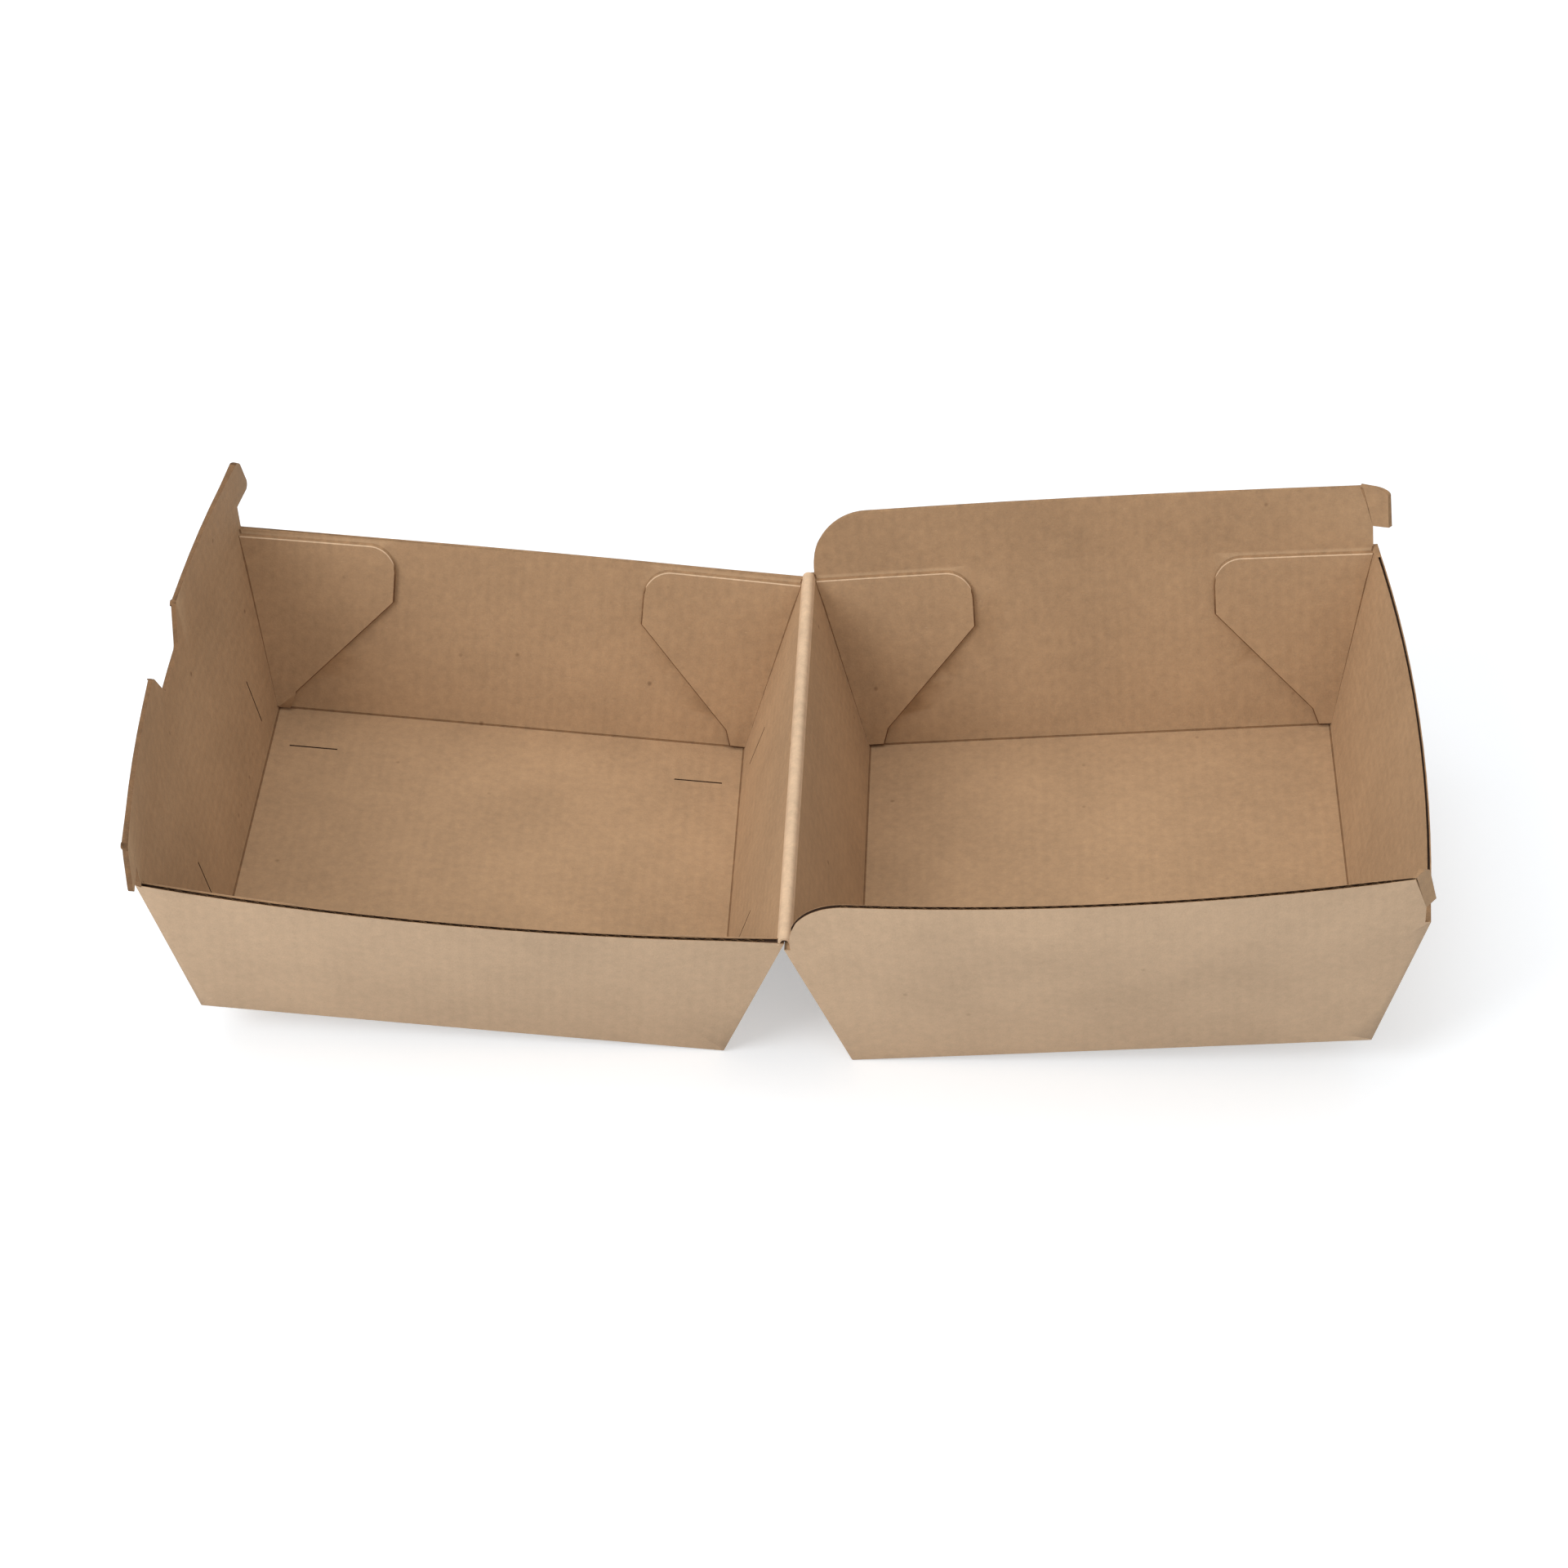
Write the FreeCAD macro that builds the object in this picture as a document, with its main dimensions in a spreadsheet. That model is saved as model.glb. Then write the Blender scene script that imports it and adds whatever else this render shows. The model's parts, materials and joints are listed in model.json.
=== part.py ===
import FreeCAD, Part
import os
import re
from math import atan2, sqrt

import Sketcher
from FreeCAD import Placement, Rotation, Vector

# Takeaway box of one die-cut sheet of corrugated board, standing open.
# Two trays share a crease. Each tray is drawn in its own frame: the crease is the Y axis,
# +X runs out over the tray, the rim lies at Z = 0 and the floor at Z = -height.
# At the end the lid is mirrored to the other side of the crease, and both trays are turned
# about the crease and set on the ground plane.

doc = FreeCAD.newDocument("takeaway_box")

# Driving sizes in millimetres and degrees, with what each one measures
SIZES = [
    ("board", 1.2, "thickness of the board"),
    ("height", 39.0, "rim above the floor, inside a tray"),
    ("floor_length", 101.5, "floor of the base, from the crease side to the outer end"),
    ("floor_depth", 101.6, "floor of the base, front to back"),
    ("hinge_spread", 9.5, "outward lean of the wall at the crease, floor to rim"),
    ("end_spread", 10.2, "outward lean of the outer end wall, floor to rim"),
    ("side_spread", 11.2, "outward lean of the front and back walls, floor to rim"),
    ("front_bow", 3.8, "how far the middle of a front rim bulges"),
    ("back_bow", 0.9, "how far the middle of a back rim bulges"),
    ("base_end_bow", 3.6, "bulge of the base's outer end rim"),
    ("lid_end_bow", 3.2, "bulge of the lid's outer end rim"),
    ("fit_gap", 0.6, "gap between the lid's walls and the base's wings when closed"),
    ("lip_gap", 0.85, "gap between the base's end wall and the lid's lip when closed"),
    ("crest_gap", 0.15, "how far the walls at the crease stop short of it"),
    ("fold_radius", 1.0, "outer radius of the folds round a floor"),
    ("wing_height", 13.6, "front and back walls of the base above its rim"),
    ("wing_bend", 1.3, "how far a wing's top edge is bent inward"),
    ("wing_radius", 12.0, "rounded wing corner beside the crease"),
    ("hook_start", 2.3, "top of the hook's crease, back from the wing's end"),
    ("hook_reach", 1.9, "hook beyond the wing's end"),
    ("hook_slot", 4.6, "gap under a hook, above the rim"),
    ("hook_radius", 1.8, "rounded corner of a hook"),
    ("back_hook_bend", 18.0, "inward bend of the back hook"),
    ("front_hook_bend", 50.0, "inward bend of the front hook"),
    ("lip_height", 13.6, "lip of the lid above its rim"),
    ("lip_bend", 2.1, "how far the lip's top edge is bent inward"),
    ("ear_reach", 8.8, "ears of the lip beyond the side walls"),
    ("ear_slot", 5.0, "gap between an ear and the rim"),
    ("ear_taper", 3.4, "how far an ear narrows towards its top"),
    ("ear_tip_radius", 3.0, "rounded top corner of an ear"),
    ("ear_low_radius", 1.4, "rounded lower corner of an ear"),
    ("notch_width", 26.0, "thumb notch along the lip's edge"),
    ("notch_foot", 15.0, "thumb notch along its bottom"),
    ("notch_depth", 7.5, "depth of the thumb notch"),
    ("notch_radius", 1.8, "rounded corners of the thumb notch"),
    ("flap_reach", 34.5, "glue flap along the rim, from its fold"),
    ("flap_foot", 14.0, "glue flap along the floor, from the fold's top"),
    ("flap_radius", 6.0, "rounded free corner of a glue flap"),
    ("flap_drop", 0.8, "glue flap's top edge below the rim"),
    ("flap_rise", 0.7, "glue flap's bottom edge above the floor"),
    ("flap_step", 3.6, "upright step at the foot of a glue flap"),
    ("slit_width", 0.4, "width of a vent slit"),
    ("slit_length", 10.5, "length of a vent slit"),
    ("slit_inset", 4.2, "floor slit, short of the outer fold"),
    ("slit_lift", 6.0, "wall slit, above the floor"),
    ("slit_back", 35.5, "rear row of slits, behind the middle"),
    ("slit_front", 26.0, "front row of slits, before the middle"),
    ("open_angle", 9.7, "angle by which the two floors miss lying in one plane"),
]
# How far a cutting outline reaches past the board: well clear, or just clear
MARGIN = 20.0
SPARE = 2.0

size = doc.addObject("Spreadsheet::Sheet", "Size")
for row, (alias, number, meaning) in enumerate(SIZES, start=1):
    size.set(f"A{row}", meaning)
    size.set(f"B{row}", str(number))
    size.setAlias(f"B{row}", alias)
doc.recompute()

ALIAS = re.compile(r"\b(" + "|".join(alias for alias, _, _ in SIZES) + r")\b")


def sized(text):
    """The formula with each size name turned into its cell."""
    return ALIAS.sub(r"Size.\1", text)


def value(text):
    """The number that a formula gives with the present sizes."""
    return float(size.evalExpression(sized(text)))


# Formulas shared by both trays

def run(spread):
    """Board thickness measured level, through a wall with this lean."""
    return f"(board * sqrt(1 + ({spread} / height) ^ 2))"


BASE = {
    "length": "floor_length",
    "depth": "floor_depth",
    "bend": "wing_bend",
    "end_bow": "base_end_bow",
}
LID = {
    "length": f"(floor_length + {run('end_spread')} + lip_gap)",
    "depth": f"(floor_depth - 2 * ({run('side_spread')} + fit_gap))",
    "bend": "0",
    "end_bow": "lid_end_bow",
}


def hinge_x(level, layers=0):
    """Face of the wall at the crease; layers counts boards outward from the inside."""
    return f"({run('hinge_spread')} * (1 - ({layers})) - hinge_spread * ({level}) / height)"


def end_x(tray, level, layers=0):
    """Face of the outer end wall."""
    rim = f"{run('hinge_spread')} + hinge_spread + {tray['length']} + end_spread"
    return f"({rim} + end_spread * ({level}) / height + {run('end_spread')} * ({layers}))"


def side_y(tray, level, layers=0):
    """Face of the front or back wall, as a distance from the middle."""
    rim = f"{tray['depth']} / 2 + side_spread"
    bend = f"{tray['bend']} * max({level}; 0) / wing_height"
    return f"({rim} + side_spread * ({level}) / height - {bend} + {run('side_spread')} * ({layers}))"


def bow(rim_bow, level):
    """Bulge of a wall at a level: none at the floor, growing evenly upward."""
    return f"({rim_bow} * (1 + ({level}) / height))"


def bow_radius(half_chord, rise):
    return f"(({half_chord} ^ 2 + {rise} ^ 2) / (2 * {rise}))"


# Sketch planes: level, upright along the tray, upright across the tray
LEVEL = Rotation()
ALONG = Rotation(Vector(1, 0, 0), 90)
ACROSS = Rotation(Vector(1, 1, 1), 120)


def bind(sketch, constraint, text):
    index = sketch.addConstraint(constraint)
    sketch.setExpression(f"Constraints[{index}]", sized(text))


def bind_point(sketch, geometry, end, corner):
    bind(sketch, Sketcher.Constraint("DistanceX", -1, 1, geometry, end, value(corner[0])), corner[0])
    bind(sketch, Sketcher.Constraint("DistanceY", -1, 1, geometry, end, value(corner[1])), corner[1])


def arc_between(start, end, radius, leftward):
    """Arc from start to end, turning left or right, with the ends' names in the sketch."""
    chord = end - start
    middle = (start + end) * 0.5
    height = sqrt(max(radius ** 2 - (chord.Length / 2) ** 2, 0.0))
    normal = Vector(-chord.y, chord.x, 0).normalize()
    centre = middle + normal * (height if leftward else -height)
    first, last = (start, end) if leftward else (end, start)
    angles = [atan2(point.y - centre.y, point.x - centre.x) for point in (first, last)]
    arc = Part.ArcOfCircle(Part.Circle(centre, Vector(0, 0, 1), radius), *angles)
    return arc, (1, 2) if leftward else (2, 1)


def outline(name, turn, level, corners):
    """Closed sketch, drawn anticlockwise.

    A corner is (x, y), (x, y, rounding radius) or (x, y, None, radius of the bowed edge after it).
    """
    sketch = doc.addObject("Sketcher::SketchObject", name)
    sketch.Placement = Placement(Vector(), turn)
    if level:
        sketch.setExpression("Placement.Base.z", sized(level))
    corners = [tuple(corner) + (None,) * (4 - len(corner)) for corner in corners]
    spots = [Vector(value(corner[0]), value(corner[1]), 0) for corner in corners]
    count = len(corners)

    arrivals = list(spots)
    departures = list(spots)
    rounds = {}
    for i, corner in enumerate(corners):
        if corner[2] is None:
            continue
        back = (spots[i - 1] - spots[i]).normalize()
        ahead = (spots[(i + 1) % count] - spots[i]).normalize()
        half = back.getAngle(ahead) / 2
        radius = value(corner[2])
        bisector = (back + ahead).normalize()
        centre_distance = radius / sqrt((1 - (back * ahead)) / 2)
        setback = sqrt(centre_distance ** 2 - radius ** 2)
        arrivals[i] = spots[i] + back * setback
        departures[i] = spots[i] + ahead * setback
        leftward = (back.cross(ahead)).z < 0
        rounds[i] = arc_between(arrivals[i], departures[i], radius, leftward)

    edges = []
    for i, corner in enumerate(corners):
        j = (i + 1) % count
        if corner[3] is None:
            edge = sketch.addGeometry(Part.LineSegment(departures[i], arrivals[j]), False)
            edges.append((edge, 1, 2))
        else:
            arc, ends = arc_between(departures[i], arrivals[j], value(corner[3]), True)
            edge = sketch.addGeometry(arc, False)
            bind(sketch, Sketcher.Constraint("Radius", edge, value(corner[3])), corner[3])
            edges.append((edge, *ends))

    for i, corner in enumerate(corners):
        before, _, before_end = edges[i - 1]
        after, after_start, _ = edges[i]
        if i not in rounds:
            sketch.addConstraint(Sketcher.Constraint("Coincident", before, before_end, after, after_start))
            bind_point(sketch, after, after_start, corner)
            continue
        arc, ends = rounds[i]
        turn_arc = sketch.addGeometry(arc, False)
        sketch.addConstraint(Sketcher.Constraint("Tangent", before, before_end, turn_arc, ends[0]))
        sketch.addConstraint(Sketcher.Constraint("Tangent", turn_arc, ends[1], after, after_start))
        bind(sketch, Sketcher.Constraint("Radius", turn_arc, value(corner[2])), corner[2])
        tip = sketch.addGeometry(Part.Point(spots[i]), True)
        sketch.addConstraint(Sketcher.Constraint("PointOnObject", tip, 1, before))
        sketch.addConstraint(Sketcher.Constraint("PointOnObject", tip, 1, after))
        bind_point(sketch, tip, 1, corner)
    return sketch


def loft(name, sections):
    solid = doc.addObject("Part::Loft", name)
    solid.Sections = sections
    solid.Solid = True
    solid.Ruled = True
    return solid


def prism(name, sketch, direction, length):
    """Sketch carried the same way to both sides."""
    solid = doc.addObject("Part::Extrusion", name)
    solid.Base = sketch
    solid.DirMode = "Custom"
    solid.Dir = direction
    solid.Solid = True
    solid.Symmetric = True
    solid.setExpression("LengthFwd", sized(length))
    return solid


def joined(name, parts):
    solid = doc.addObject("Part::MultiFuse", name)
    solid.Shapes = parts
    return solid


def cut(name, body, tool):
    solid = doc.addObject("Part::Cut", name)
    solid.Base = body
    solid.Tool = tool
    return solid


def shared(name, body, tool):
    solid = doc.addObject("Part::Common", name)
    solid.Base = body
    solid.Tool = tool
    return solid


# The tapered walls of a tray

def section(name, tray, level, layers, side_layers, bowed):
    """Level outline of a tray: straight round the floor, bulging above it."""
    near = hinge_x(level, layers)
    far = end_x(tray, level, layers)
    side = side_y(tray, level, side_layers)
    front = back = end = None
    if bowed:
        half = f"(({far} - {near}) / 2)"
        front = bow_radius(half, bow("front_bow", level))
        back = bow_radius(half, bow("back_bow", level))
        end = bow_radius(side, bow(tray["end_bow"], level))
    corners = [
        (near, f"-{side}", None, front),
        (far, f"-{side}", None, end),
        (far, side, None, back),
        (near, side),
    ]
    return outline(name, LEVEL, level, corners)


def tapered(name, tray, low, high, layers=0, side_layers=0):
    """Solid whose walls run straight from the floor's outline to a bulging rim, and on above it."""
    sections = [section(name + "_foot", tray, low, layers, side_layers, False)]
    if high != "0":
        sections.append(section(name + "_rim", tray, "0", layers, side_layers, True))
    sections.append(section(name + "_top", tray, high, layers, side_layers, True))
    return loft(name, sections)


def rounded_floor(name, block, level):
    """The folds round the underside of the floor."""
    doc.recompute()
    low = value(level)
    picked = []
    for number, edge in enumerate(block.Shape.Edges, start=1):
        if max(abs(vertex.Z - low) for vertex in edge.Vertexes) < 0.01:
            picked.append((number, value("fold_radius"), value("fold_radius")))
    solid = doc.addObject("Part::Fillet", name)
    solid.Base = block
    solid.Edges = picked
    return solid


def glue_flaps(name, tray, hollow, top):
    """Flaps of the two end walls, folded round the corners and glued inside the front and back."""
    within = tapered(name + "_within", tray, "-height", top, 1, -1)
    layer = cut(name + "_layer", hollow, within)
    rim_x = {"near": hinge_x("0"), "far": end_x(tray, "0")}
    across = f"2 * {side_y(tray, '0')} + {MARGIN}"
    prisms = []
    for end, sign in (("near", "+"), ("far", "-")):
        rim = rim_x[end]
        beyond = f"({rim} {'-' if sign == '+' else '+'} {MARGIN})"
        corners = [
            (beyond, "-height + flap_rise"),
            (f"({rim} {sign} (flap_foot - board))", "-height + flap_rise"),
            (f"({rim} {sign} flap_foot)", "-height + flap_rise + flap_step"),
            (f"({rim} {sign} flap_reach)", "-flap_drop - 2 * flap_radius"),
            (f"({rim} {sign} flap_reach)", "-flap_drop", "flap_radius"),
            (beyond, "-flap_drop"),
        ]
        if sign == "-":
            corners.reverse()
        sketch = outline(f"{name}_{end}_outline", ALONG, None, corners)
        prisms.append(prism(f"{name}_{end}_prism", sketch, Vector(0, 1, 0), across))
    return shared(name, layer, joined(name + "_prisms", prisms))


# Base: front and back walls rise above the rim as wings, each ending in a creased hook

BELOW = f"(-height - board - {MARGIN})"
FLOOR_UNDER = "-height - board"
wing_end = end_x(BASE, "0")
hook_top_x = f"({wing_end} - hook_start)"

base_block = tapered("base_block", BASE, FLOOR_UNDER, "wing_height", 1, 1)
base_rounded = rounded_floor("base_rounded", base_block, FLOOR_UNDER)
base_hollow = tapered("base_hollow", BASE, "-height", "wing_height")
base_walls = cut("base_walls", base_rounded, base_hollow)

wing_start = hinge_x("0")
base_side_view = outline("base_side_view", ALONG, None, [
    (f"-{MARGIN}", BELOW),
    (f"({wing_end} + {MARGIN})", BELOW),
    (f"({wing_end} + {MARGIN})", "0"),
    (wing_end, "0"),
    (wing_end, "hook_slot"),
    (hook_top_x, "wing_height"),
    (wing_start, "wing_height", "wing_radius"),
    (wing_start, "-crest_gap"),
    (f"-{MARGIN}", "-crest_gap"),
])
across = f"2 * {side_y(BASE, '0')} + 2 * {MARGIN}"
base_kept = prism("base_kept", base_side_view, Vector(0, 1, 0), across)
base_trimmed = shared("base_trimmed", base_walls, base_kept)

base_flaps = glue_flaps("base_flaps", BASE, base_hollow, "wing_height")


def outer_wing_point(x, level, side):
    """Point on the outside of a wing."""
    near = value(hinge_x(level, 1))
    half = (value(end_x(BASE, level, 1)) - near) / 2
    rise = value(bow("front_bow" if side < 0 else "back_bow", level))
    radius = (half ** 2 + rise ** 2) / (2 * rise)
    bulge = sqrt(radius ** 2 - (x - near - half) ** 2) - (radius - rise)
    return Vector(x, side * (value(side_y(BASE, level, 1)) + bulge), value(level))


def hook(name, side, bend):
    """End of one wing beyond its slanting crease, bent inward by an angle."""
    foot = outer_wing_point(value(wing_end), "hook_slot", side)
    above = outer_wing_point(value(wing_end), "wing_height", side)
    beyond = outer_wing_point(value(wing_end) + 1, "hook_slot", side)
    crease_top = outer_wing_point(value(hook_top_x), "wing_height", side)
    slope = "(wing_height - hook_slot) * sqrt(1 + (side_spread / height) ^ 2)"
    sketch = outline(name + "_view", LEVEL, None, [
        ("0", "0"),
        ("hook_reach", "0"),
        ("hook_reach", slope, "hook_radius"),
        ("-hook_start", slope),
    ])
    along = beyond - foot
    flat = Placement(foot, Rotation(along, Vector(), along.cross(above - foot), "XZY"))
    turn = Rotation(crease_top - foot, -side * value(bend))
    sketch.Placement = Placement(Vector(), turn, foot) * flat
    plate = doc.addObject("Part::Extrusion", name)
    plate.Base = sketch
    plate.DirMode = "Normal"
    plate.Solid = True
    plate.Reversed = side < 0
    plate.setExpression("LengthFwd", sized("board"))
    return plate


back_hook = hook("back_hook", 1, "back_hook_bend")
front_hook = hook("front_hook", -1, "front_hook_bend")
base_tray = joined("base_tray", [base_trimmed, base_flaps, back_hook, front_hook])

# Lid: its outer end wall rises above the rim as a lip with an ear at each end and a thumb notch

lid_block = tapered("lid_block", LID, FLOOR_UNDER, "0", 1, 1)
lid_rounded = rounded_floor("lid_rounded", lid_block, FLOOR_UNDER)
lid_inner = tapered("lid_inner", LID, "-height", "0")
lid_walls = cut("lid_walls", lid_rounded, lid_inner)
lid_flaps = glue_flaps("lid_flaps", LID, lid_inner, "0")

crest_view = outline("crest_view", ALONG, None, [
    (f"-{MARGIN}", "-crest_gap"),
    (hinge_x("0"), "-crest_gap"),
    (hinge_x("0"), f"{MARGIN}"),
    (f"-{MARGIN}", f"{MARGIN}"),
])
crest_cut = prism("crest_cut", crest_view, Vector(0, 1, 0), across)
lid_low_crest = cut("lid_low_crest", lid_walls, crest_cut)


def lip_section(name, level):
    """Curved strip of board at one level: the end wall's bulge carried on past its corners.

    It bends inward from the rim up.
    """
    half = side_y(LID, level)
    outer_half = side_y(LID, level, 1)
    rise = bow(LID["end_bow"], level)
    reach = f"({side_y(LID, '0', 1)} + ear_reach + {SPARE})"
    bend = f"lip_bend * ({level}) / lip_height"
    inner = bow_radius(half, rise)
    outer = bow_radius(outer_half, rise)

    def at(radius, layers):
        face = f"{end_x(LID, level, layers)} - {bend}"
        return f"({face} + {rise} - {radius} + sqrt({radius} ^ 2 - {reach} ^ 2))"

    sketch = doc.addObject("Sketcher::SketchObject", name)
    sketch.setExpression("Placement.Base.z", sized(level))
    low, high = f"-{reach}", reach
    ends = [(at(outer, 1), low), (at(outer, 1), high), (at(inner, 0), high), (at(inner, 0), low)]
    spots = [Vector(value(x), value(y), 0) for x, y in ends]
    outer_arc, outer_ends = arc_between(spots[0], spots[1], value(outer), True)
    inner_arc, inner_ends = arc_between(spots[2], spots[3], value(inner), False)
    a = sketch.addGeometry(outer_arc, False)
    b = sketch.addGeometry(Part.LineSegment(spots[1], spots[2]), False)
    c = sketch.addGeometry(inner_arc, False)
    d = sketch.addGeometry(Part.LineSegment(spots[3], spots[0]), False)
    bind(sketch, Sketcher.Constraint("Radius", a, value(outer)), outer)
    bind(sketch, Sketcher.Constraint("Radius", c, value(inner)), inner)
    sketch.addConstraint(Sketcher.Constraint("Coincident", a, outer_ends[1], b, 1))
    sketch.addConstraint(Sketcher.Constraint("Coincident", b, 2, c, inner_ends[0]))
    sketch.addConstraint(Sketcher.Constraint("Coincident", c, inner_ends[1], d, 1))
    sketch.addConstraint(Sketcher.Constraint("Coincident", d, 2, a, outer_ends[0]))
    for geometry, end, corner in ((d, 2, ends[0]), (b, 1, ends[1]), (b, 2, ends[2]), (d, 1, ends[3])):
        bind_point(sketch, geometry, end, corner)
    return sketch


lip_strip = loft("lip_strip", [lip_section("lip_foot", "0"), lip_section("lip_top", "lip_height")])

throat = side_y(LID, "0", 1)
ear_out = f"({throat} + ear_reach)"
ear_top = f"({throat} + ear_reach - ear_taper)"
half_lip = [
    (throat, "0"),
    (throat, "ear_slot"),
    (ear_out, "ear_slot", "ear_low_radius"),
    (ear_top, "lip_height", "ear_tip_radius"),
    ("notch_width / 2", "lip_height", "notch_radius"),
    ("notch_foot / 2", "lip_height - notch_depth", "notch_radius"),
]
mirrored = [(f"-{corner[0]}", *corner[1:]) for corner in reversed(half_lip)]
lip_view = outline("lip_view", ACROSS, None, half_lip + mirrored)
lip_prism = prism("lip_prism", lip_view, Vector(1, 0, 0), f"2 * {end_x(LID, 'lip_height', 2)} + {MARGIN}")
lip = shared("lip", lip_strip, lip_prism)


def slit(name, x, y, z, length, rise):
    """Thin block whose way through the board is a knife cut."""
    block = doc.addObject("Part::Box", name)
    block.setExpression("Length", sized(length))
    block.setExpression("Width", sized("slit_width"))
    block.setExpression("Height", sized(rise))
    block.setExpression("Placement.Base.x", sized(x))
    block.setExpression("Placement.Base.y", sized(y))
    block.setExpression("Placement.Base.z", sized(z))
    return block


slits = []
for row, y in (("back", "slit_back - slit_width / 2"), ("front", "-slit_front - slit_width / 2")):
    through = "4 * board"
    slant = f"{through} + end_spread"
    under = "-height - 2 * board"
    outer_fold = end_x(LID, "-height")
    inner_fold = hinge_x("-height")
    floor_out = f"{outer_fold} - slit_inset - slit_length"
    floor_in = f"{inner_fold} + slit_inset"
    wall_low = "-height + slit_lift"
    slits += [
        slit(f"slit_{row}_floor_out", floor_out, y, under, "slit_length", through),
        slit(f"slit_{row}_floor_in", floor_in, y, under, "slit_length", through),
        slit(f"slit_{row}_end", end_x(LID, wall_low, -1), y, wall_low, slant, "slit_length"),
        slit(f"slit_{row}_crease", f"-{MARGIN}", y, wall_low, f"{MARGIN} + {inner_fold}", "slit_length"),
    ]
lid_solid = joined("lid_solid", [lid_low_crest, lid_flaps, lip])
lid_slitted = cut("lid_slitted", lid_solid, joined("vent_slits", slits))
lid_tray = doc.addObject("Part::Mirroring", "lid_tray")
lid_tray.Source = lid_slitted
lid_tray.Normal = Vector(1, 0, 0)

doc.recompute()

# Stand the open box on the ground: each tray turned about the crease by half the open angle
# so that its outer end is raised, and the footprint centred on the origin

tilt = value("open_angle / 2")
base_tray.Placement = Placement(Vector(), Rotation(Vector(0, 1, 0), -tilt))
lid_tray.Placement = Placement(Vector(), Rotation(Vector(0, 1, 0), tilt))
boxes = [tray.Shape.optimalBoundingBox(True, False) for tray in (base_tray, lid_tray)]
low_x = min(box.XMin for box in boxes)
high_x = max(box.XMax for box in boxes)
low_y = min(box.YMin for box in boxes)
high_y = max(box.YMax for box in boxes)
ground = min(box.ZMin for box in boxes)
crease = Vector(-(low_x + high_x) / 2, -(low_y + high_y) / 2, -ground)
for tray in (base_tray, lid_tray):
    tray.Placement = Placement(crease, tray.Placement.Rotation)
print(f"crease at {crease.x:.4f}, {crease.y:.4f}, {crease.z:.4f}, tilt {tilt:.3f}")

# Check everything, then write one file for each sub-part

for item in doc.Objects:
    if "Invalid" in item.State or "Error" in item.State:
        raise RuntimeError(f"{item.Label} failed: {item.State}")
os.makedirs("parts", exist_ok=True)
for tray, node in ((base_tray, "base_tray"), (lid_tray, "lid_tray")):
    tray.Label = node
    shape = tray.Shape
    if shape.isNull() or not shape.isValid():
        raise RuntimeError(f"{node} has no valid shape")
    if len(shape.Solids) != 1:
        raise RuntimeError(f"{node} fell into {len(shape.Solids)} solids")
    print(f"{node}: {shape.Volume / 1000:.2f} cm3, {len(shape.Faces)} faces")
    shape.exportStep(f"parts/{node}.step")
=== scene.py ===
# %% [markdown]
# # A takeaway box of fine-flute kraft board
# The box is one die-cut sheet: two tapered trays that share a crease, standing open.
# The solids of both trays are already there as a frame. They say where every wall is,
# and they never move. The lesson dresses them: real folds, cut edges that show the
# flutes, and a kraft paper that looks right from every side.

# %% Open the frame
import json
import math

import bmesh
import bpy
from mathutils import Matrix, Vector
from mathutils.bvhtree import BVHTree


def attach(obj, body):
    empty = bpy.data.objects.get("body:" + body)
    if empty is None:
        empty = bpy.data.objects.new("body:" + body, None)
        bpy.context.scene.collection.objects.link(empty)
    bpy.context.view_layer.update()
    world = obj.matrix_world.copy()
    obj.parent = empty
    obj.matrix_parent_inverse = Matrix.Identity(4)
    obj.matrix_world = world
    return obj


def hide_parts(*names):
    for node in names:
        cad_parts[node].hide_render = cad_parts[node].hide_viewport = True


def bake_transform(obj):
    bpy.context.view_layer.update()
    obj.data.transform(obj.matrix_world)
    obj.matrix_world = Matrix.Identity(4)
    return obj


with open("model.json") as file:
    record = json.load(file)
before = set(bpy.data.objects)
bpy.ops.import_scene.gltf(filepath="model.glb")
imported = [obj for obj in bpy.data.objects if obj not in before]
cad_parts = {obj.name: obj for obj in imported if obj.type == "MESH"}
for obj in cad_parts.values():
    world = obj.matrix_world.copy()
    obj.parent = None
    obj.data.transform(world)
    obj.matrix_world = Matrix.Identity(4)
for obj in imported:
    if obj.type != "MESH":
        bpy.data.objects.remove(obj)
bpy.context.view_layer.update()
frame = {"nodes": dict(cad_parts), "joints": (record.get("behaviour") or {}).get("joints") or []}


def in_mm(lengths, digits=1):
    return [round(length * 1000, digits) for length in lengths]


# %% [markdown]
# ## Sizes
# The walls are found from a few sizes of the folded box, all in metres. A tray is easiest
# to think of in its own axes: the crease is the Y axis, +X runs out over the tray, the rim
# lies at Z = 0 and the floor below it. The two trays stand in a shallow V, so each one is
# turned about the crease by half the angle that the hinge still has to open, and the lid
# is also mirrored. The front, where the camera stands, is at -Y. Every wall leans outward
# by its spread, from the floor to the rim, and the long ones bulge by their bow. Two gaps
# set the lid off from the base, so that they nest when the box closes.

# %% Sizes of the folded box
MM = 0.001
BOARD = 1.2 * MM
HEIGHT = 39.0 * MM
FLOOR_LENGTH = 101.5 * MM
FLOOR_DEPTH = 101.6 * MM
HINGE_SPREAD = 9.5 * MM
SIDE_SPREAD = 11.2 * MM
END_SPREAD = 10.2 * MM
FIT_GAP = 0.6 * MM
LIP_GAP = 0.85 * MM
WING_HEIGHT = 13.6 * MM
FRONT_BOW = 3.8 * MM
BACK_BOW = 0.9 * MM
FRONT, BACK = -1, 1

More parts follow.
